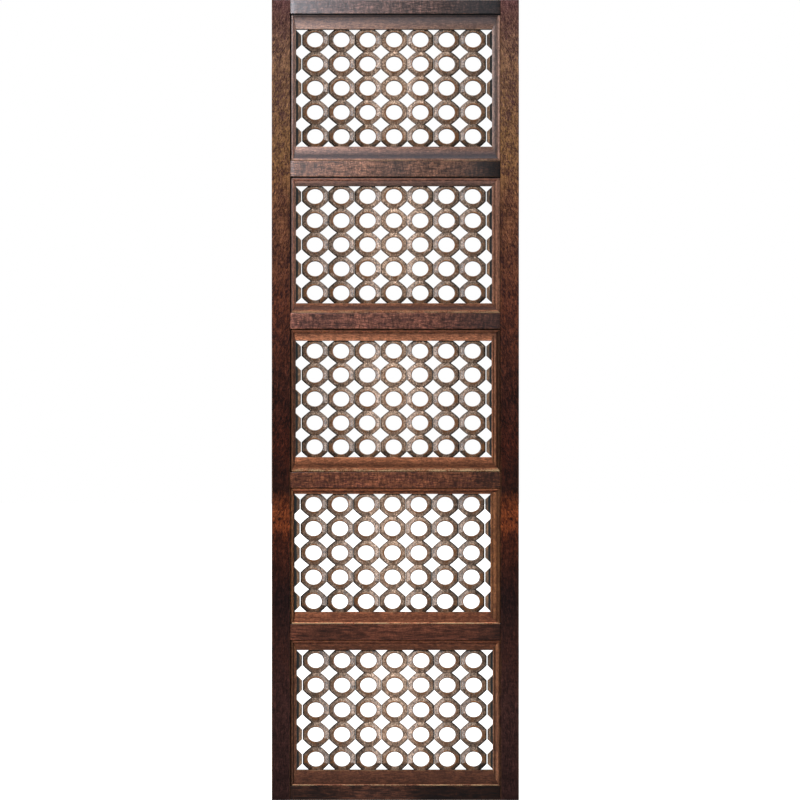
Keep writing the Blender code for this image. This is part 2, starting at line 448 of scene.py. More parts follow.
@dataclass
class Skin:
    """A mesh in the making. Its points carry wear, dirt and painted light, shade and sheen; its faces, tones
    of wood and painted light.
    """

    seed: float
    form: bmesh.types.BMesh = field(default_factory=bmesh.new)

    def __post_init__(self) -> None:
        """Add the layers that the wood's material reads."""
        self.wear = self.form.verts.layers.float.new("wear")
        self.recess = self.form.verts.layers.float.new("recess")
        self.shade = self.form.verts.layers.float.new("shade")
        self.tone = self.form.faces.layers.float.new("tone")
        self.grain = self.form.faces.layers.float.new("seed")

    def point(
        self, x: float, depth: float, z: float, wear: float, recess: float, shade: float = 0.0
    ) -> bmesh.types.BMVert:
        """Add a point.

        Args:
            x: its place across the panel.
            depth: how far it is behind the front of the stiles.
            z: its height.
            wear: how rubbed the wood is there, and on lips, inner edges and slat facets the strength of a
                painted highlight and painted warmth.
            recess: how far its colour goes to dirt, painted shade and painted grey sheen there.
            shade: stops lighter there, of painted light and shade, and darker mitre joints.

        Returns:
            The point.
        """
        vert = self.form.verts.new((x, FRONT_Y + depth, z))
        vert[self.wear] = wear
        vert[self.recess] = recess
        vert[self.shade] = shade
        return vert

    def face(self, points: Sequence[bmesh.types.BMVert], tone: float) -> None:
        """Add a face.

        Args:
            points: its corners in order.
            tone: how much lighter its wood is, in stops, with painted light and shade on the slats and some
                mouldings.
        """
        made = self.form.faces.new(points)
        made[self.tone] = tone
        made[self.grain] = self.seed
        made.smooth = True

    def tube(
        self, rows: Sequence[Sequence[bmesh.types.BMVert]], tones: Sequence[float], end_tone: float
    ) -> None:
        """Join sections by bands of faces and close both ends.

        Args:
            rows: the sections in order, each of as many points.
            tones: lightness of each band.
            end_tone: lightness of the ends.
        """
        for near, far, tone in zip(rows, rows[1:], tones):
            for i in range(len(near)):
                j = (i + 1) % len(near)
                self.face((near[i], near[j], far[j], far[i]), tone)
        for row in (rows[0], rows[-1]):
            self.face(row, end_tone)

    def piece(self, name: str, wood: bpy.types.Material, slot: str, node: str, sharp: float) -> Piece:
        """Turn the skin into a piece of the panel that stands for a CAD node.

        Args:
            name: the piece's name.
            wood: its material.
            slot: the record's material slot; not used.
            node: the CAD node that it replaces.
            sharp: angle in degrees above which an edge is drawn sharp.

        Returns:
            The piece.
        """
        bmesh.ops.remove_doubles(self.form, verts=self.form.verts, dist=1e-6)
        bmesh.ops.recalc_face_normals(self.form, faces=self.form.faces)
        mesh = bpy.data.meshes.new(name)
        self.form.to_mesh(mesh)
        self.form.free()
        mesh.set_sharp_from_angle(angle=math.radians(sharp))
        mesh.materials.append(wood)
        piece = put_in_scene(name, mesh)
        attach(piece, "root")
        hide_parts(node)
        return piece


@dataclass
class Board:
    """A straight sawn board: eased arrises that are nicked here and there, and faces that aren't quite flat.

    shades is painted light and shade along the board, in stops. Each dent is its place along the board, half
    its length and its depth. shut_sides says which long sides have another piece against them.
    """

    node: str
    fibre: Fibre
    ease: float = 0.0012
    end_ease: float = 0.0004
    inner_line: float = 0.0040
    station: float = 0.010
    waver: float = 0.00022
    nick: float = 0.00154
    nick_length: float = 0.011
    nick_reach: float = 0.02
    nick_rarity: float = 0.25
    end_tone: float = -0.4
    dents: tuple[tuple[float, float, float], ...] = ()
    shades: tuple[float, ...] = (0.0, 0.0)
    shut_sides: tuple[bool, bool] = (True, True)
    shut_wear: float = 0.4
    dirt: float = 0.9
    dirt_reach: float = 0.8

    def section(self, width: float, depth: float) -> list[tuple[float, float, float]]:
        """Rounded section of the board.

        Args:
            width: the section's size across the front.
            depth: the section's size from front to back.

        Returns:
            Points (across, through, wear) once round. Wear is 1 on an arris and 0 on a face.
        """
        r = self.ease
        corners = ((r, r, 180), (width - r, r, 270), (width - r, depth - r, 0), (r, depth - r, 90))
        arcs = []
        for x, y, start in corners:
            angles = [math.radians(start + 30 * step) for step in range(4)]
            arcs.append([(x + r * math.cos(a), y + r * math.sin(a)) for a in angles])
        points = []
        for arc, following in zip(arcs, arcs[1:] + arcs[:1]):
            points += [(x, y, 1.0 if step in (1, 2) else 0.5) for step, (x, y) in enumerate(arc)]
            start, end = arc[-1], following[0]
            edge = self.inner_line / math.dist(start, end)
            for share in (edge / 3, edge, 0.5, 1 - edge, 1 - edge / 3):
                points.append((mix(start[0], end[0], share), mix(start[1], end[1], share), 0.0))
        return points

    def stations(self, low: float, high: float) -> list[Point]:
        """Places of the board's sections.

        Args:
            low: where the board starts.
            high: where it ends.

        Returns:
            Each place along the board, and how far its section is drawn in, which eases the ends.
        """
        r = self.end_ease
        inside = high - low - 2 * r
        count = max(2, round(inside / self.station))
        ends = [(0.0, r), (0.3 * r, 0.3 * r), (r, 0.0)]
        head = [(low + at, inset) for at, inset in ends]
        middle = [(low + r + inside * i / count, 0.0) for i in range(1, count)]
        return head + middle + [(high - at, inset) for at, inset in reversed(ends)]

    def build(self, wood: bpy.types.Material, slot: str) -> Piece:
        """Build the board in the place of its CAD node.

        Args:
            wood: its material.
            slot: the record's material slot.

        Returns:
            The piece.
        """
        low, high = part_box(self.node)
        axis = self.fibre.value
        other = 2 - axis
        size = (high[other] - low[other], high.y - low.y)
        width, depth = size
        skin = Skin(SEEDS[self.node])
        rows = []
        for along, inset in self.stations(low[axis], high[axis]):
            row = []
            shade = self.shade((along - low[axis]) / (high[axis] - low[axis]))
            for across, through, wear in self.section(width, depth):
                shut = self.shut_sides[0 if across < width / 2 else 1]
                dirty = shut and across in (0.0, width) and through < depth * self.dirt_reach
                if shut and through < depth / 2:
                    wear *= self.shut_wear
                across = min(max(across, inset), width - inset)
                through = min(max(through, inset), depth - inset)
                across, through = self.roughed(along, (across, through), size, wear)
                spot = {axis: along, other: low[other] + across}
                behind = low.y - FRONT_Y + through
                row.append(skin.point(spot[0], behind, spot[2], wear, self.dirt if dirty else 0.0, shade))
            rows.append(row)
        skin.tube(rows, [0.0] * len(rows), self.end_tone)
        return skin.piece(self.node + "_board", wood, slot, self.node, 50)

    def shade(self, share: float) -> float:
        """How much painted light there is at a share of the board's length.

        Args:
            share: 0 at the start of the board and 1 at its end.

        Returns:
            Stops lighter.
        """
        at = min(max(share, 0.0), 0.9999) * (len(self.shades) - 1)
        first = int(at)
        return mix(self.shades[first], self.shades[first + 1], at - first)

    def roughed(self, along: float, spot: Point, size: Point, wear: float) -> Point:
        """Point of a section moved inward by the board's waver, nicks and dents.

        Args:
            along: where the section is.
            spot: the point (across, through) before.
            size: the section's width and depth.
            wear: 1 on an arris and 0 on a face.

        Returns:
            The point after, within the section's box.
        """
        across, through = spot
        width, depth = size
        seed = SEEDS[self.node]
        inward = self.waver * (0.5 + 0.5 * noise.noise(Vector((along * 9, across * 40, through * 40 + seed))))
        reach = self.nick_reach
        where = Vector((along / self.nick_length, across / reach + 31.0, through / reach + seed))
        inward += max(0.0, noise.noise(where) - self.nick_rarity) * self.nick * wear
        for centre, half, deep in self.dents:
            away = abs(along - centre) / half
            outer = across < width / 2 if self.node.endswith("left") else across > width / 2
            if away < 1 and outer and through < depth * 0.6:
                inward += deep * (1 - away * away) * (1.0 if wear > 0 else 0.25)
        if wear > 0 or across in (0, width):
            across += inward if across < width / 2 else -inward
        through += inward if through < depth / 2 else -inward
        return min(max(across, 0.0), width), min(max(through, 0.0), depth)


@dataclass
class OuterFrame:
    """The two stiles and six rails that carry the bays."""

    stile_wood: StainedHardwood
    rail_wood: StainedHardwood
    plain_rail_wood: StainedHardwood
    dent_height: float = -0.1235
    dent_half: float = 0.013
    dent_depth: float = 0.0012
    rail_ease: float = 0.0010
    end_rail_ease: float = 0.0007

    def build(self) -> Iterator[Piece]:
        """Build the stiles, then the rails from the top down.

        Yields:
            Each piece.
        """
        stile_wood = self.stile_wood.material()
        rippled = self.rail_wood.material()
        plain = self.plain_rail_wood.material()
        dents = ((self.dent_height, self.dent_half, self.dent_depth),)
        for side in ("left", "right"):
            shut = (side == "right", side == "left")
            stile = Board(f"stile_{side}", Fibre.UPRIGHT, dents=dents, shut_sides=shut)
            yield stile.build(stile_wood, "stile_wood")
        for name, shades in RAIL_SHADES.items():
            ease = self.rail_ease if name[-1].isdigit() else self.end_rail_ease
            shut = (name != "rail_bottom", name != "rail_top")
            rail = Board(name, Fibre.LEVEL, ease, shades=shades, shut_sides=shut)
            yield rail.build(plain if name in PLAIN_RAILS else rippled, "rail_wood")


class Side(Enum):
    """The four members of an inner frame."""

    TOP = "top"
    BOTTOM = "bottom"
    LEFT = "left"
    RIGHT = "right"


@dataclass(frozen=True)
class PaintedShading:
    """Painted light and shade on one member of an inner frame, in stops lighter, from its outer edge to the
    grille.
    """

    gap: float
    lip: float
    quirk: float
    hollow: float
    crease: float
    slope: float
    gap_width: float = 0.0005
    lip_width: float = 0.0032
    cove_share: float = 0.45
    # Wear of the lip's outer arris, partly a painted highlight on the bottom members
    wear_and_highlight: float = 0.0
    # Wear of the slope's inner arris, partly a painted highlight on the right members
    inner_wear_and_highlight: float = 0.3
    # Painted grey sheen in the hollow
    painted_sheen: float = 0.0


@dataclass
class InnerFrame:
    """Four mitred mouldings round one bay, each with a lip, a quirk, a hollow, and a slope to the grille."""

    number: int
    lip_depth: float = 0.0040
    gap_depth: float = 0.0095
    glue_line: float = 0.00045
    quirk: float = 0.0013
    cove_depth: float = 0.0105
    cove_steps: int = 8
    slope_end: float = 0.0120
    groove_front: float = 0.0158
    groove_reach: float = 0.0040
    groove_back: float = 0.0313
    back_depth: float = 0.0345
    arris: float = 0.0006
    mitre_gap: float = 0.00012
    mitre_half: float = 0.0006
    mitre_sunk: float = 0.0003
    mitre_shade: float = -1.2
    station: float = 0.014
    waver: float = 0.0002
    waves: float = 14.0

    def profile(self, width: float, stain: PaintedShading) -> list[tuple[float, float, float, float, float]]:
        """Section of a member, from its outer edge to the grille and round the back.

        Args:
            width: how much of the member shows.
            stain: its shadow gap, widths, painted light and shade, painted sheen, and wear with painted
                highlights.

        Returns:
            (distance from the outer edge, depth, wear, painted sheen, painted shade) at each point.
        """
        gap, lip = stain.gap_width, stain.lip
        lip_end = gap + stain.lip_width
        top = self.lip_depth
        r = self.arris
        start = lip_end + self.quirk * 0.5
        end = start + stain.cove_share * (width - start)
        # Painted shadow in the gap beside the board, then the member's painted light and shade across lip,
        # quirk, hollow and slope
        points = [
            (0.0, self.gap_depth + 2 * self.glue_line, 0.0, 0.0, DARK),
            (-self.glue_line, self.gap_depth + self.glue_line, 0.0, 0.0, DARK),
            (-self.glue_line, self.gap_depth, 0.0, 0.0, stain.gap),
            (gap * 0.8, self.gap_depth, 0.0, 0.0, stain.gap),
            (gap, top + r, stain.wear_and_highlight * 0.5, 0.0, mix(stain.gap, lip, 0.6)),
            (gap + r * 0.3, top + r * 0.3, stain.wear_and_highlight, 0.0, lip),
            (gap + r, top, stain.wear_and_highlight, 0.0, lip),
            (mix(gap, lip_end, 0.6), top, stain.wear_and_highlight * 0.4, 0.0, lip),
            (lip_end - r, top, 0.0, 0.0, lip),
            (lip_end - r * 0.3, top + r * 0.3, 0.0, 0.0, mix(lip, stain.quirk, 0.3)),
            (lip_end, top + r, 0.0, 0.0, mix(lip, stain.quirk, 0.6)),
            (lip_end + self.quirk * 0.15, top + self.quirk, 0.0, stain.painted_sheen * 0.5, stain.quirk),
        ]
        for step in range(self.cove_steps + 1):
            angle = math.pi / 2 * step / self.cove_steps
            share = 1 - math.cos(angle)
            depth = mix(top + self.quirk, self.cove_depth, math.sin(angle))
            early = mix(stain.quirk, stain.hollow, share * 2)
            shade = early if share < 0.5 else mix(stain.hollow, stain.crease, share * 2 - 1)
            points.append((mix(start, end, share), depth, 0.0, stain.painted_sheen * (1 - 0.4 * share), shade))
        for share in (0.15, 0.5, 0.85):
            shade = mix(stain.crease, stain.slope, min(1.0, share * 1.7))
            painted_sheen = stain.painted_sheen * 0.6 * max(0.0, 1 - 1.8 * share)
            depth = mix(self.cove_depth, self.slope_end, share)
            points.append((mix(end, width - r, share), depth, 0.0, painted_sheen, shade))
        inner, slope = stain.inner_wear_and_highlight, stain.slope
        # Painted shade in the groove and on the back
        points += [
            (width - r, self.slope_end - 0.0001, inner, 0.0, slope),
            (width - r * 0.3, self.slope_end + r * 0.2, inner, 0.0, slope),
            (width, self.slope_end + r, inner * 0.6, 0.0, mix(slope, DARK, 0.2)),
            (width, self.groove_front, 0.0, 0.0, mix(slope, DARK, 0.8)),
            (width - self.groove_reach, self.groove_front, 0.0, 0.0, DARK),
            (width - self.groove_reach, self.groove_back, 0.0, 0.0, DARK),
            (width, self.groove_back, 0.0, 0.0, -2.0),
            (width, self.back_depth - r, 0.3, 0.0, 0.0),
            (width - r, self.back_depth, 0.1, 0.0, -0.6),
            (r, self.back_depth, 0.1, 0.0, -0.6),
            (0.0, self.back_depth - r, 0.3, 0.0, -1.0),
        ]
        return points

    def lines(self) -> dict[Side, list[tuple]]:
        """Lines of each member's profile, from mitre to mitre.

        Returns:
            For each member (start, end, wear, painted sheen, painted shade) of each line.
        """
        low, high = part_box(f"inner_frame_{self.number}")
        first_low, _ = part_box(f"slat_{self.number}_1")
        _, last_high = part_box(f"slat_{self.number}_{COLUMNS}")
        widths = {
            Side.TOP: high.z - last_high.z + self.groove_reach,
            Side.BOTTOM: first_low.z + self.groove_reach - low.z,
            Side.LEFT: first_low.x - STRIP_VISIBLE - low.x,
            Side.RIGHT: high.x - last_high.x - STRIP_VISIBLE,
        }
        profiles = [self.profile(widths[side], PAINTED_SHADING[side][self.number - 1]) for side in Side]
        lines: dict[Side, list[tuple]] = {side: [] for side in Side}
        for points in zip(*profiles):
            top, bottom, left, right = (point[0] for point in points)
            x0, x1, z0, z1 = low.x + left, high.x - right, low.z + bottom, high.z - top
            ends = (((x0, z1), (x1, z1)), ((x0, z0), (x1, z0)), ((x0, z0), (x0, z1)), ((x1, z0), (x1, z1)))
            for side, point, corners in zip(Side, points, ends):
                start, end = (Vector((x, point[1], z)) for x, z in corners)
                lines[side].append((start, end, *point[2:]))
        return lines

    def build(self, level: bpy.types.Material, upright: bpy.types.Material) -> Iterator[Piece]:
        """Build the four members of the frame.

        Args:
            level: material of the top and bottom members.
            upright: material of the left and right ones.

        Yields:
            Each member.
        """
        for side, lines in self.lines().items():
            yield self.member(side, lines, level if side in (Side.TOP, Side.BOTTOM) else upright)

    def member(self, side: Side, lines: list[tuple], wood: bpy.types.Material) -> Piece:
        """Build one member, from mitre to mitre.

        Args:
            side: which member it is.
            lines: ends, wear, painted sheen and painted shade of each line of its profile.
            wood: its material.

        Returns:
            The piece.
        """
        name = f"moulding_{self.number}_{side.value}"
        skin = Skin(SEEDS[name])
        # Painted shade on some left members
        tone = TONES.get(name, 0.0)
        falls = LEVEL_FALL[self.number - 1] if side in (Side.TOP, Side.BOTTOM) else (0.0, 0.0)
        shortest = min((end - start).length for start, end, *_ in lines)
        count = max(4, round(shortest / self.station))
        rows = []
        for index in range(count + 3):
            row = []
            at_mitre = index in (0, count + 2)
            for start, end, wear, painted_sheen, shade in lines:
                length = (end - start).length
                share = self.along(index, count, length) / length
                spot = start.lerp(end, share)
                wave = 0.5 + 0.5 * noise.noise(spot * self.waves + Vector((0, SEEDS[name], 0)))
                sunk = self.waver * wave + (self.mitre_sunk if at_mitre else 0.0)
                if spot.y >= self.slope_end + self.arris:
                    sunk = 0.0
                # Painted light falling off from left to right along the level members
                shade += mix(*falls, share)
                shade = min(shade, self.mitre_shade) if at_mitre else shade
                row.append(skin.point(spot.x, spot.y + sunk, spot.z, wear, painted_sheen, shade))
            rows.append(row)
        skin.tube(rows, [tone] * len(rows), tone)
        return skin.piece(name, wood, "moulding_wood", f"inner_frame_{self.number}", 32)

    def along(self, index: int, count: int, length: float) -> float:
        """Distance of a station from the start of its line. The first and last two make the mitre's V.

        Args:
            index: the station's number.
            count: how many parts there are between the mitres.
            length: the line's length.

        Returns:
            The distance.
        """
        v = self.mitre_half
        stations = [self.mitre_gap, v] + [mix(v, length - v, i / count) for i in range(1, count)]
        stations += [length - v, length - self.mitre_gap]
        return stations[min(index, len(stations) - 1)]


@dataclass(frozen=True)
class Hole:
    """Round hole drilled through a ring, a little off its centre."""

    half: Vector
    shift: Vector

    def at(self, angle: float, grow: float = 0.0) -> Vector:
        """Point (x, z) of its outline, grown by some length."""
        x, z = (self.half.x + grow) * math.cos(angle), (self.half.y + grow) * math.sin(angle)
        return Vector((x, z)) + self.shift


@dataclass(frozen=True)
class Facet:
    """One sloping side of a ring: its outward normal, distance and slope, its outline's painted shade and its
    painted warmth.
    """

    normal: Vector
    distance: float
    slope: float
    dark: float
    painted_warmth: float


@dataclass
class RingSlat:
    """One upright slat of the grille: rings drilled through, each an eight-sided pyramid round its hole.

    The sides of a ring are numbered anticlockwise from the right-hand one.
    """

    bay: int
    column: int
    seam_flat: float = 0.0217
    neck_width: float = 0.0208
    hole_width: float = 0.0373
    hole_height: float = 0.0340
    rim_depth: float = 0.0130
    valley_depth: float = 0.0180
    back_depth: float = 0.0310
    bow: float = 0.0007
    chamfer: float = 0.0024
    chamfer_drop: float = 0.0013
    rim_round: float = 0.0016
    back_ease: float = 0.0005
    side_steps: int = 7
    wander: float = 0.00018
    unevenness: float = 0.12

    @property
    def node(self) -> str:
        """Name of the CAD node that this slat stands for."""
        return f"slat_{self.bay}_{self.column}"

    def outline(self, width: float, pitch: float) -> list[Vector]:
        """Outline of one ring.

        Args:
            width: the slat's width.
            pitch: the ring's height.

        Returns:
            Eight corners (x, z) round the ring's centre, anticlockwise from the lower right.
        """
        side, flat, neck, end = width / 2, self.seam_flat / 2, self.neck_width / 2, pitch / 2
        corners = (side, -flat), (side, flat), (neck, end), (-neck, end)
        return [Vector(c) for c in corners] + [Vector((-x, -z)) for x, z in corners]

    def build(self, wood: bpy.types.Material) -> Piece:
        """Build the slat in the place of its CAD node.

        Args:
            wood: its material.

        Returns:
            The piece.
        """
        low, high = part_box(self.node)
        pitch = (high.z - low.z) / ROWS
        skin = Skin(SEEDS[self.node])
        dice = random.Random(self.node)
        for row in range(ROWS):
            centre = Vector(((low.x + high.x) / 2, low.z + (row + 0.5) * pitch))
            self.ring(skin, centre, self.outline(high.x - low.x, pitch), row, dice)
        return skin.piece("ring_" + self.node, wood, "slat_wood", self.node, 14)

    def ring(self, skin: Skin, centre: Vector, corners: list[Vector], row: int, dice: random.Random) -> None:
        """Build one ring of the slat.

        Args:
            skin: the slat's mesh.
            centre: the ring's centre (x, z).
            corners: its outline.
            row: the ring's number from the bottom.
            dice: the slat's own random numbers.
        """
        shift = Vector((dice.uniform(-1, 1), dice.uniform(-1, 1))) * self.wander
        hole = Hole(Vector((self.hole_width / 2, self.hole_height / 2)), shift)
        # Where the ring runs on into the one above or below
        open_sides = ({2} if row < ROWS - 1 else set()) | ({6} if row > 0 else set())
        insets = [0.0 if side in open_sides else self.chamfer for side in range(8)]
        facets = [self.facet(corners, side, row, hole) for side in range(8)]
        inner = [self.corner(facets, insets, side) for side in range(8)]
        angles = [self.ridge(corners[side], facets[side - 1], facets[side], hole) for side in range(8)]
        for side, facet in enumerate(facets):
            following = (side + 1) % 8
            start, end = angles[side], angles[following]
            if end < start:
                end += 2 * math.pi
            uneven = dice.uniform(-self.unevenness, self.unevenness)
            # Tone at random, painted light by column, and painted light and shade by side
            tone = uneven + TONES[self.node] + self.facet_tone(side, row)
            spokes = []
            for step in range(self.side_steps + 1):
                t = step / self.side_steps
                swell = facet.normal * (self.bow * 4 * t * (1 - t) if side % 2 else 0.0)
                outer_at = corners[side].lerp(corners[following], t) + swell
                inner_at = inner[side].lerp(inner[following], t) + swell
                profile = self.spoke(outer_at, inner_at, mix(start, end, t), hole, facet)
                spokes.append(
                    [skin.point(centre.x + at.x, depth, centre.y + at.y, *own) for at, depth, *own in profile]
                )
            for near, far in zip(spokes, spokes[1:]):
                for k in range(2 if side in open_sides else 0, len(near)):
                    j = (k + 1) % len(near)
                    skin.face((near[k], far[k], far[j], near[j]), tone)

    def by_side(self, values: Sequence[float], side: int) -> float:
        """Value for a side of a ring.

        Args:
            values: the eight sides' values in the columns left of the middle, which the others mirror.
            side: the side's number.

        Returns:
            The value. In the middle column it is the mean of both halves.
        """
        here, mirrored = values[side], values[(4 - side) % 8]
        if self.column == MIDDLE_COLUMN:
            return (here + mirrored) / 2
        return mirrored if self.column > MIDDLE_COLUMN else here

    def facet_tone(self, side: int, row: int) -> float:
        """How much lighter a facet is painted than its fellows, by side and row.

        Args:
            side: the side's number.
            row: the ring's number from the bottom.

        Returns:
            Stops lighter.
        """
        values = {0: BOTTOM_FACET_TONES, ROWS - 1: TOP_FACET_TONES}.get(row, FACET_TONES)
        return self.by_side(values, side) - (0.1 if self.column == MIDDLE_COLUMN else 0.0)

    def facet(self, corners: list[Vector], side: int, row: int, hole: Hole) -> Facet:
        """One side of a ring. Its outline takes painted shade, darkest on the sides that face the panel's
        edge, and its painted warmth is most low down.

        Args:
            corners: the ring's outline.
            side: the side's number.
            row: the ring's number from the bottom.
            hole: the ring's hole, whose rim stands the same height above the valley on each side.

        Returns:
            The facet.
        """
        run = (corners[(side + 1) % 8] - corners[side]).normalized()
        normal = Vector((run.y, -run.x))
        distance = normal.dot(corners[side])
        support = math.hypot(hole.half.x * normal.x, hole.half.y * normal.y)
        slope = (self.valley_depth - self.rim_depth) / (distance - support)
        # Painted shade on the outline, darkest on the sides that face the panel's edge, away from the lights
        turned = (0.5 - 0.5 * math.cos(math.radians(45 * n)) for n in range(8))
        dark = self.by_side([mix(0.25, 1.0, share) for share in turned], side)
        if side in (2, 6):
            dark = 0.75
        painted_warmth = self.by_side(PAINTED_WARM_FACETS, side) * (1.4 - 0.2 * row)
        return Facet(normal, distance, slope, dark, painted_warmth)

    def spoke(self, outer: Vector, inner: Vector, angle: float, hole: Hole, facet: Facet) -> list[tuple]:
        """Section of a ring, from the slat's back edge over the facet and through the hole to its back edge.

        Args:
            outer: point of the outline.
            inner: point of the facet's edge above the chamfer.
            angle: where the section meets the hole.
            hole: the ring's hole.
            facet: the ring's side that it crosses.

        Returns:
            (place, depth, wear, painted shade) at each point.
        """
        r = self.rim_round
        dark = facet.dark
        rim = hole.at(angle, r)
        on_facet = [inner, inner.lerp(rim, 0.12), inner.lerp(rim, 0.62), rim]
        falls = [facet.slope * max(facet.distance - facet.normal.dot(at), -self.bow) for at in on_facet]
        edge_depth, mid_a_depth, mid_b_depth, rim_depth = (self.valley_depth - fall for fall in falls)
        # Painted warm rim, strongest on the sides that take the most painted shade
        painted_rim_warmth = mix(0.6, 1.6, dark)
        # Painted shade on the outline, the hole's wall and the back
        return [
            (outer, self.back_depth, 0.2, 0.4),
            (outer, self.valley_depth + self.chamfer_drop, 0.1, 0.9 * dark),
            (inner, edge_depth, 0.0, 0.70 * dark),
            (on_facet[1], mid_a_depth, facet.painted_warmth, 0.0),
            (on_facet[2], mid_b_depth, facet.painted_warmth, 0.0),
            (rim, rim_depth, painted_rim_warmth, 0.0),
            (hole.at(angle, r * 0.35), rim_depth + r * 0.30, painted_rim_warmth, 0.10 + 0.15 * dark),
            (hole.at(angle), rim_depth + r, 0.6, 0.35 + 0.2 * dark),
            (hole.at(angle), self.back_depth - self.back_ease, 0.0, 0.5),
            (hole.at(angle, self.back_ease), self.back_depth, 0.1, 0.2),
        ]

    def corner(self, facets: list[Facet], insets: list[float], side: int) -> Vector:
        """Where the inset lines of a side and the one before it meet.

        Args:
            facets: the ring's sides.
            insets: how far each side's line is moved inward.
            side: the side's number.

        Returns:
            The point (x, z).
        """
        a, b = facets[side - 1].normal, facets[side].normal
        p, q = facets[side - 1].distance - insets[side - 1], facets[side].distance - insets[side]
        cross = a.x * b.y - a.y * b.x
        return Vector(((p * b.y - q * a.y) / cross, (a.x * q - b.x * p) / cross))

    def ridge(self, corner: Vector, before: Facet, after: Facet, hole: Hole) -> float:
        """Where the ridge between two facets meets the hole.

        Args:
            corner: the outline's corner that the ridge starts from.
            before: the facet on one side of it.
            after: the facet on the other.
            hole: the ring's hole.

        Returns:
            The angle on the hole's outline.
        """
        fall = before.normal * before.slope - after.normal * after.slope
        run = Vector((fall.y, -fall.x)).normalized()
        if run.dot(corner) > 0:
            run = -run
        start, way = (Vector((v.x / hole.half.x, v.y / hole.half.y)) for v in (corner, run))
        a = way.dot(way)
        b = start.dot(way)
        c = start.dot(start) - 1
        meet = start + way * ((-b - math.sqrt(b * b - a * c)) / a)
        return math.atan2(meet.y, meet.x)


@dataclass
class EdgeStrip:
    """Narrow toothed strip at one side of a grille, which closes the half rings between slats and frame."""

    bay: int
    side: Side
    seam_flat: float = 0.0217
    notch_flat: float = 0.0105
    slit: float = 0.0017
    valley_depth: float = 0.0180
    land_depth: float = 0.0161
    back_depth: float = 0.0310
    chamfer: float = 0.0010
    chamfer_drop: float = 0.0010
    shadow_width: float = 0.0054
    shadow_edge: float = 0.0006
    # Painted shade on the top row of teeth, under the frame
    top_row_shade: float = -1.0

    @property
    def node(self) -> str:
        """Name of the CAD node that this strip stands for."""
        return f"edge_strip_{self.bay}_{self.side.value}"

    def edge(self, pitch: float) -> list[Point]:
        """Toothed edge of the strip.

        Args:
            pitch: the height of a ring.

        Returns:
            (distance from the seam, height) at each point, from the bottom up.
        """
        half_notch, half_seam = (pitch - self.notch_flat) / 2, self.seam_flat / 2
        points = [(STRIP_VISIBLE, 0.0)]
        for row in range(ROWS):
            centre = (row + 0.5) * pitch
            teeth = (
                (STRIP_VISIBLE, centre - half_notch),
                (self.slit, centre - half_seam),
                (self.slit, centre + half_seam),
                (STRIP_VISIBLE, centre + half_notch),
            )
            for start, end in zip(teeth, teeth[1:]):
                points += [(mix(start[0], end[0], k / 4), mix(start[1], end[1], k / 4)) for k in range(4)]
            points.append(teeth[-1])
        points.append((STRIP_VISIBLE, ROWS * pitch))
        return points

    def section(self, near: float, outer: float) -> list[tuple[float, float, float, float]]:
        """Section of the strip: a sloping face, and a shadow along the frame.

        Args:
            near: distance of the toothed edge from the seam.
            outer: distance of the far edge from the seam.

        Returns:
            (distance from the seam, depth, wear, painted shade) at each point.
        """
        inner = min(near + self.chamfer, STRIP_VISIBLE)
        start = max(inner, STRIP_VISIBLE - self.shadow_width)
        shaded = min(start + self.shadow_edge, STRIP_VISIBLE + 0.0001)
        # Painted shade on the chamfer and a painted shadow along the frame
        return [
            (near, self.back_depth, 0.2, 0.4),
            (near, self.facet_depth(near) + self.chamfer_drop, 0.2, 0.6),
            (inner, self.facet_depth(inner), 0.0, 0.3),
            (start, self.facet_depth(start), 0.0, 0.1),
            (shaded, self.facet_depth(start), 0.0, 0.93),
            (STRIP_VISIBLE + 0.0002, self.land_depth, 0.0, 0.97),
            (outer, self.land_depth, 0.0, 1.0),
            (outer, self.back_depth, 0.0, 0.5),
        ]

    def facet_depth(self, across: float) -> float:
        """Depth of the strip's front at a distance from the seam."""
        share = min(max((across - self.slit) / (STRIP_VISIBLE - self.slit), 0.0), 1.0)
        return mix(self.valley_depth, self.land_depth, share)

    def build(self, wood: bpy.types.Material) -> Piece:
        """Build the strip in the place of its CAD node.

        Args:
            wood: its material.

        Returns:
            The piece.
        """
        low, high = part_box(self.node)
        on_left = self.side is Side.LEFT
        slat_low, slat_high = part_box(f"slat_{self.bay}_{1 if on_left else COLUMNS}")
        seam = slat_low.x if on_left else slat_high.x
        towards = -1 if on_left else 1
        outer = abs((low.x if on_left else high.x) - seam)
        pitch = (high.z - low.z) / ROWS
        skin = Skin(SEEDS[self.node])
        rows = []
        tones = []
        for near, height in self.edge(pitch):
            z = low.z + height
            profile = self.section(near, outer)
            rows.append([skin.point(seam + towards * x, depth, z, *own) for x, depth, *own in profile])
            tones.append(self.top_row_shade if rows[-1][0].co.z > high.z - pitch else 0.0)
        skin.tube(rows, tones, 0.0)
        return skin.piece("side_" + self.node, wood, "strip_wood", self.node, 30)


@dataclass
class Bay:
    """One bay of the panel: its inner frame, ring slats and edge strips."""

    number: int
    woods: dict[str, bpy.types.Material]

    def build(self) -> Iterator[Piece]:
        """Build the bay's pieces.

        Yields:
            Each piece.
        """
        woods = self.woods
        yield from InnerFrame(self.number).build(woods["level moulding"], woods["upright moulding"])
        for column in range(1, COLUMNS + 1):
            yield RingSlat(self.number, column).build(woods["slat"])
        for side in (Side.LEFT, Side.RIGHT):
            yield EdgeStrip(self.number, side).build(woods["strip"])


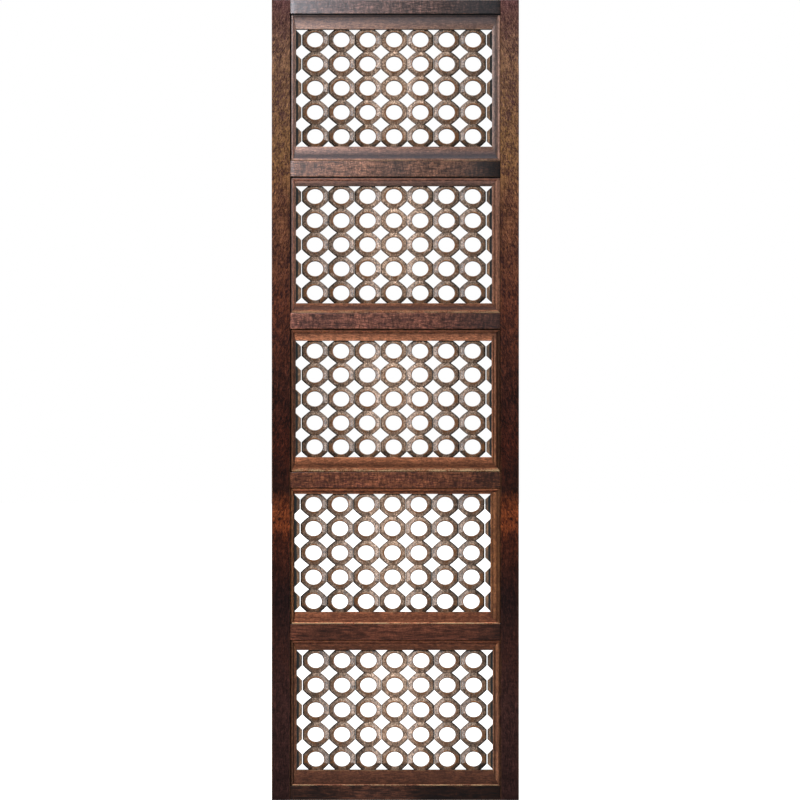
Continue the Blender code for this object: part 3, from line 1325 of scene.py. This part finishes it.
@dataclass
class Studio:
    """Pale floor, white surroundings, soft lights and the camera."""

    distance: float = 14.0
    picture_pixels: int = 800
    panel_centre_pixel: float = 395.35
    sensor: float = 36.0
    filled: float = 0.9992
    floor_radius: float = 40.0
    floor_gap: float = 0.0005
    far: float = 3.0

    def camera(self) -> Piece:
        """Camera square on to the panel, which fills the picture from head to foot.

        Returns:
            The camera.
        """
        low, high = CAD_BOX
        height = high.z - low.z
        aside = (self.picture_pixels / 2 - self.panel_centre_pixel) * height / self.picture_pixels
        data = bpy.data.cameras.new("camera")
        data.sensor_width = self.sensor
        data.lens = self.sensor * self.distance / (height * self.filled)
        camera = put_in_scene("camera", data)
        camera.location = ((low.x + high.x) / 2 + aside, low.y - self.distance, (low.z + high.z) / 2)
        camera.rotation_euler = (math.pi / 2, 0.0, 0.0)
        bpy.context.scene.camera = camera
        return camera

    def floor(self) -> Piece:
        """Round pale floor under the panel's foot.

        Returns:
            The floor.
        """
        form = bmesh.new()
        bmesh.ops.create_circle(form, cap_ends=True, segments=96, radius=self.floor_radius)
        mesh = bpy.data.meshes.new("floor")
        form.to_mesh(mesh)
        form.free()
        mesh.materials.append(PalePlaster().material())
        floor = put_in_scene("floor", mesh)
        floor.location.z = CAD_BOX[0].z - self.floor_gap
        floor.visible_diffuse = False
        floor.visible_glossy = False
        return floor

    def surroundings(self, seen: float, ambient: float) -> None:
        """World that is white to look at and dim as a light.

        Args:
            seen: brightness behind the panel.
            ambient: brightness that lights it.
        """
        world = bpy.data.worlds.new("studio")
        world.use_nodes = True
        world.node_tree.nodes.clear()
        node = partial(add, world.node_tree)
        looked_at = node("LightPath", output="Is Camera Ray")
        dim = node("Background", {"Color": (0.93, 0.96, 1.0, 1.0), "Strength": ambient})
        bright = node("Background", {"Color": WHITE, "Strength": seen})
        node("OutputWorld", {"Surface": node("MixShader", {0: looked_at, 1: dim, 2: bright})})
        bpy.context.scene.world = world

    def far_light(
        self,
        name: str,
        sideways: float,
        up: float,
        strength: float,
        softness: float,
        lit: Sequence[Piece] = (),
        gloss: bool = False,
        tint: tuple[float, float, float] = (1.0, 1.0, 1.0),
    ) -> Piece:
        """Even light from one direction.

        Args:
            name: the light's name.
            sideways: degrees to the right of straight in front of the panel.
            up: degrees above the level.
            strength: watts to the square metre.
            softness: degrees that the light seems wide.
            lit: the only pieces that it lights, or none for all.
            gloss: whether it only shines in the lacquer, or only lights the wood under it.
            tint: its colour.

        Returns:
            The light.
        """
        data = bpy.data.lights.new(name, "SUN")
        data.color = tint
        data.energy = strength
        data.angle = math.radians(softness)
        light = put_in_scene(name, data)
        a, e = math.radians(sideways), math.radians(up)
        way = Vector((math.sin(a) * math.cos(e), -math.cos(a) * math.cos(e), math.sin(e)))
        light.location = way * self.far
        return self.aimed(light, way, lit, gloss)

    def softbox(
        self, name: str, place: Vector, aim: Vector, size: Point, power: float, lit: Sequence[Piece]
    ) -> Piece:
        """Soft panel of light near the screen, which only shines in the lacquer.

        Args:
            name: the light's name.
            place: where it hangs.
            aim: the point that it faces.
            size: its width and height.
            power: watts.
            lit: the only pieces that it lights.

        Returns:
            The light.
        """
        data = bpy.data.lights.new(name, "AREA")
        data.shape = "RECTANGLE"
        data.size, data.size_y = size
        data.energy = power
        data.color = (0.86, 0.90, 1.0)
        light = put_in_scene(name, data)
        light.location = place
        return self.aimed(light, place - aim, lit, True)

    def aimed(self, light: Piece, way: Vector, lit: Sequence[Piece], gloss: bool) -> Piece:
        """Turn a light to the panel, out of the camera's sight, for the pieces that it is meant for.

        Args:
            light: the light.
            way: direction to the light from the point that it faces.
            lit: the only pieces that it lights, or none for all.
            gloss: whether it only shines in the lacquer, or only lights the wood under it.

        Returns:
            The light.
        """
        light.rotation_euler = way.to_track_quat("Z", "Y").to_euler()
        light.visible_camera = False
        light.visible_glossy = gloss
        light.visible_diffuse = not gloss
        if lit:
            lit_group = bpy.data.collections.new(light.name + "_lights")
            for piece in lit:
                lit_group.objects.link(piece)
            light.light_linking.receiver_collection = lit_group
        return light


def draw_seeds() -> dict[str, float]:
    """Draw where each piece's grain is cut from the log. The stiles are cut from one plank.

    Returns:
        One number for each piece.
    """
    mouldings = [f"moulding_{bay}_{side.value}" for bay in range(1, BAYS + 1) for side in Side]
    names = list(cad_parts) + mouldings
    dice = random.Random(1830)
    seeds = {name: dice.uniform(1.0, 9.0) for name in sorted(names)}
    seeds["stile_right"] = seeds["stile_left"]
    return seeds


def draw_tones() -> dict[str, float]:
    """Draw how much lighter or darker each slat and moulding is: painted light and shade by column and on
    some mouldings, with a little at random for each slat.

    Returns:
        Stops lighter for each of them.
    """
    dice = random.Random(565)
    tones = dict(MOULDING_TONES)
    for bay in range(1, BAYS + 1):
        for column in range(1, COLUMNS + 1):
            aside = abs(column - MIDDLE_COLUMN)
            tones[f"slat_{bay}_{column}"] = COLUMN_TONES[aside] + dice.uniform(-0.05, 0.05)
    return tones


# Painted light along each rail from left to right, lighter at the left and darker at the right end
RAIL_SHADES = {
    "rail_top": (0.6, 1.0, 1.3, 1.1, 0.95, -0.7, -2.2),
    "rail_1": (0.5, 0.5, 0.8, -0.45, 0.15, -0.6, -4.0),
    "rail_2": (1.0, 0.05, 0.4, 0.25, 0.25, -0.55, -1.7),
    "rail_3": (0.05, 0.35, 0.65, 0.4, 0.3, -0.15, -0.9),
    "rail_4": (0.45, -0.6, 0.1, 0.3, 0.25, -0.1, -1.4),
    "rail_bottom": (-0.55, -0.7, 0.7, 0.5, -1.6, -1.4, -2.2),
}
# Rails cut from straighter timber
PLAIN_RAILS = ("rail_4", "rail_bottom")
# Painted shade on the left members of the lower inner frames
MOULDING_TONES = {"moulding_3_left": -0.9, "moulding_4_left": -0.5, "moulding_5_left": -0.9}
# Painted light on the slats by how many columns they stand from the middle one: lightest in the middle
COLUMN_TONES = (0.80, 0.50, 0.08, -0.20)
# Painted light and shade on the facets by side, in the middle rows of rings and in the rows that the frame
# shades at head and foot
FACET_TONES = (0.27, 0.06, 0.28, -0.22, 0.25, 0.72, 0.06, 0.3)
TOP_FACET_TONES = (0.1, -0.7, -0.1, -0.35, -0.3, 0.5, 0.2, 0.6)
BOTTOM_FACET_TONES = (0.05, -0.25, -0.1, -1.05, -0.3, -1.3, 0.2, -1.8)
# Painted warm brown on a facet by side, most on those that face down or outward, away from the lights' grey
# sheen
PAINTED_WARM_FACETS = (0.0, 0.0, 0.0, 0.1, 0.75, 0.2, 0.55, 0.45)
# Painted light and shade on the members of the inner frames, bay by bay from the top down
PAINTED_SHADING = {
    Side.TOP: (
        PaintedShading(DARK, -2.6, 0.3, -0.9, -0.4, 0.05, 0.0026, 0.0013, painted_sheen=0.45),
        PaintedShading(-4.0, -0.1, 3.3, 1.5, 0.3, -0.8, 0.0024, 0.0020, painted_sheen=0.2),
        PaintedShading(-2.5, -0.5, 2.0, 0.0, 0.45, 0.95, 0.0020),
        PaintedShading(0.9, 0.4, 2.4, 0.9, 0.4, 0.4, 0.0010),
        PaintedShading(1.8, 0.8, 2.4, 0.9, 0.1, 0.0, 0.0010),
    ),
    Side.BOTTOM: (
        PaintedShading(0.0, 0.4, -1.0, -1.7, -0.2, 0.25, 0.0001, 0.0050, wear_and_highlight=0.6, painted_sheen=0.5),
        PaintedShading(0.0, 0.4, -0.6, -1.2, -0.9, 0.05, 0.0001, 0.0066, wear_and_highlight=0.8, painted_sheen=0.2),
        PaintedShading(-3.0, 0.2, -0.9, -1.4, -0.35, 0.35, 0.0012, 0.0085, wear_and_highlight=1.8),
        PaintedShading(-2.0, 2.3, 0.05, 0.35, 0.1, 0.6, 0.0006, 0.0036, wear_and_highlight=3.6),
        PaintedShading(0.0, 1.7, -0.6, -0.1, 0.0, 0.35, 0.0001, 0.0034, wear_and_highlight=1.8),
    ),
    Side.LEFT: (
        PaintedShading(-4.0, -0.1, 2.2, 2.0, 0.8, 0.1, 0.0026, painted_sheen=0.4),
        PaintedShading(-2.0, -0.3, 2.2, 2.2, 0.7, 0.0, 0.0026, painted_sheen=0.25),
        PaintedShading(0.5, 0.1, 1.7, 2.0, 0.7, 0.2, 0.0026, painted_sheen=0.2),
        PaintedShading(2.0, 0.3, 2.0, 0.6, -0.4, -0.4, 0.0026),
        PaintedShading(1.5, 0.3, 0.6, 1.5, 1.4, 0.9, 0.0026),
    ),
    Side.RIGHT: (
        PaintedShading(1.0, 0.4, -0.5, -1.9, -1.7, -0.1, lip_width=0.0050, inner_wear_and_highlight=1.0),
        PaintedShading(0.0, -0.4, 0.0, 0.1, -1.4, 0.2, lip_width=0.0060, inner_wear_and_highlight=1.0),
        PaintedShading(-1.8, -2.1, -3.6, 0.5, -2.2, 1.0, lip_width=0.0058, cove_share=0.8, inner_wear_and_highlight=1.0),
        PaintedShading(-0.9, -0.9, -1.5, 0.4, -1.2, 0.4, lip_width=0.0058, cove_share=0.8, inner_wear_and_highlight=1.0),
        PaintedShading(-1.0, -1.0, 0.2, 0.5, -1.8, 0.4, lip_width=0.0034, cove_share=0.7, inner_wear_and_highlight=1.0),
    ),
}
# Painted light at the left and right ends of the level members, falling off to the right, by bay from the top
# down
LEVEL_FALL = ((0.6, -0.7), (0.3, -0.3), (0.15, -0.2), (0.2, -0.3), (0.0, -0.3))
SEEDS = draw_seeds()
TONES = draw_tones()

# Plank with curls round its knots, darkest below the middle, with an orange glow where the stain took less
STILE = StainedHardwood(
    name="walnut_stained_stile",
    fibre=Fibre.UPRIGHT,
    stains=(
        (0.0, "271715", "382220"),
        (0.12, "2C1B19", "452A26"),
        (0.19, "2C1A18", "44261F"),
        (0.25, "1B1010", "2C1A18"),
        (0.325, "2E1610", "562A1C"),
        (0.345, "3C1A12", "884425"),
        (0.366, "3E1C13", "8A4728"),
        (0.388, "20110F", "321B15"),
        (0.44, "1E100F", "52261A"),
        (0.50, "1E1110", "4A271E"),
        (0.62, "351F1E", "6E3D2B"),
        (0.75, "3C2422", "86593F"),
        (0.81, "4A3131", "9C7148"),
        (0.94, "4A3334", "966F54"),
        (1.0, "432A2B", "785250"),
    ),
    specular=0.25,
    fleck=0.22,
    grain_depth=0.48,
    warp=0.06,
    slant=0.35,
    curl=2.2,
    curls=34.0,
    figure_width=0.0032,
    figure_length=0.0150,
    figure_edges=(0.36, 0.64),
    patch=0.55,
    knots=((0.2655, 1.170, 0.0045), (0.2785, 1.179, 0.0035), (0.2740, 1.108, 0.0045)),
    bookmatched=True,
)
# Rippled boards: short bands of light and dark across long fibres, glossier than the stiles
RAIL = StainedHardwood(
    name="walnut_stained_rail",
    fibre=Fibre.LEVEL,
    stains=(
        (0.0, "2C1B16", "4C2E22"),
        (0.2, "45261B", "6C3E2E"),
        (0.4, "4D2A20", "74452F"),
        (0.6, "4E2E27", "7A4C3D"),
        (0.8, "543A2D", "835A45"),
        (1.0, "33241F", "503A34"),
    ),
    figure_edges=(0.38, 0.62),
    ripple=0.50,
    grain_depth=0.52,
    fibre_length=0.028,
    ripple_relief=1.5,
    ripple_pitch=0.0046,
    figure_width=0.0045,
    figure_length=0.0160,
    roughness=(0.33, 0.43),
)
# The same boards cut from straight timber: smoother, with long level streaks
PLAIN_RAIL = replace(
    RAIL,
    name="walnut_stained_plain_rail",
    ripple=0.16,
    ripple_relief=0.4,
    figure_width=0.0060,
    figure_length=0.040,
)
# Planed mouldings: warmer and smoother than the boards, with a golden lip, rubbed and partly a painted
# highlight, and a painted grey sheen in the hollow
LEVEL_MOULDING = StainedHardwood(
    name="brown_stained_level_moulding",
    fibre=Fibre.LEVEL,
    stains=(
        (0.11, "4C2E23", "67402F"),
        (0.31, "653A28", "8C5339"),
        (0.5, "83523A", "B0704E"),
        (0.695, "5C3C30", "7B5040"),
        (0.89, "7A5849", "A07660"),
    ),
    rubbed="DDBB8E",
    dirt_shade_and_sheen_colour="63636B",
    ripple=0.12,
    grain_depth=0.25,
    fleck=0.15,
)
# Upright mouldings: their grey-tan rubbed colour paints the highlight along their inner edges
UPRIGHT_MOULDING = replace(
    LEVEL_MOULDING,
    name="brown_stained_upright_moulding",
    fibre=Fibre.UPRIGHT,
    stains=(
        (0.11, "623E2E", "80563F"),
        (0.31, "75482F", "96623E"),
        (0.5, "784C38", "9C664A"),
        (0.695, "7A5444", "9E6E58"),
        (0.89, "7E6052", "A47E6C"),
    ),
    rubbed="B09A8C",
)
# Thin stain with a grey bloom: pale brown, with a painted warm brown on the facets that face away from the
# lights, and speckled with short pores
SLAT = StainedHardwood(
    name="grey_brown_stained_slat",
    fibre=Fibre.UPRIGHT,
    stains=((0.0, "665042", "987A68"), (1.0, "665042", "987A68")),
    rubbed="84522E",
    rub=1.0,
    specular=0.55,
    roughness=(0.34, 0.46),
    figure_width=0.0040,
    figure_length=0.0060,
    fibre_length=0.009,
    fleck=0.45,
)
# The slats' wood with less bloom: orange brown, and nearly black where the frame shades it
STRIP = StainedHardwood(
    name="orange_brown_stained_strip",
    fibre=Fibre.UPRIGHT,
    stains=((0.0, "6A4A34", "93694A"), (1.0, "6A4A34", "93694A")),
    dirt_shade_and_sheen_colour="1B2021",
    ripple=0.1,
)
# Light of an overcast sky, and of clear sky in the lacquer
PALE = (0.86, 1.0, 1.05)
COOL = (0.80, 0.88, 1.0)


def light_panel(studio: Studio, pieces: dict[str, Piece]) -> None:
    """Hang the lights: one from above for the framing, and lights of their own for the slats on each side.

    Args:
        studio: where they hang.
        pieces: the panel's pieces by name.
    """
    studio.surroundings(seen=1.0, ambient=0.17)
    framing = [p for n, p in pieces.items() if n.startswith(("stile", "rail", "moulding"))]
    grille = [(n, p) for n, p in pieces.items() if n.startswith(("ring_slat", "side_edge"))]
    left = [p for n, p in grille if n.endswith(("_1", "_2", "_3", "_left"))]
    right = [p for n, p in grille if n.endswith(("_5", "_6", "_7", "_right"))]
    middle = [p for n, p in grille if n.endswith("_4")]
    shiny = ("rail", "moulding_1", "moulding_2_left", "moulding_2_top")
    sheen = [p for n, p in pieces.items() if n.startswith(shiny)]
    studio.far_light("high_light", -30.0, 38.0, 3.0, 10.0, framing)
    studio.far_light("slat_light_from_right", 33.0, 36.0, 4.3, 14.0, left, tint=PALE)
    studio.far_light("slat_light_from_left", -33.0, 36.0, 4.3, 14.0, right, tint=PALE)
    studio.far_light("slat_light_from_front", 0.0, 42.0, 4.1, 20.0, middle, tint=PALE)
    studio.far_light("slat_sheen_from_right", 46.0, 12.0, 2.4, 34.0, left, True, COOL)
    studio.far_light("slat_sheen_from_left", -46.0, 12.0, 2.4, 34.0, right, True, COOL)
    studio.far_light("back_light_from_right", 125.0, 25.0, 1.7, 24.0)
    studio.far_light("back_light_from_left", -145.0, 30.0, 1.7, 24.0)
    hangs, aim = Vector((-0.42, -0.84, 0.12)), Vector((-0.20, 0.0, -0.12))
    studio.softbox("rail_sheen", hangs, aim, (0.25, 0.9), 17.0, sheen)


def main() -> None:
    """Build the panel piece by piece, then the studio round it."""
    logging.basicConfig(level=logging.INFO, format="%(message)s")
    woods = {
        "level moulding": LEVEL_MOULDING.material(),
        "upright moulding": UPRIGHT_MOULDING.material(),
        "slat": SLAT.material(),
        "strip": STRIP.material(),
    }
    pieces: dict[str, Piece] = {}
    for part in (OuterFrame(STILE, RAIL, PLAIN_RAIL), *(Bay(number, woods) for number in range(1, BAYS + 1))):
        for piece in part.build():
            pieces[piece.name] = piece
            LOG.info("%s: %d faces", piece.name, len(piece.data.polygons))
    studio = Studio()
    studio.camera()
    studio.floor()
    light_panel(studio, pieces)
    bpy.context.scene.view_settings.view_transform = "Standard"


if __name__ == "__main__":
    main()
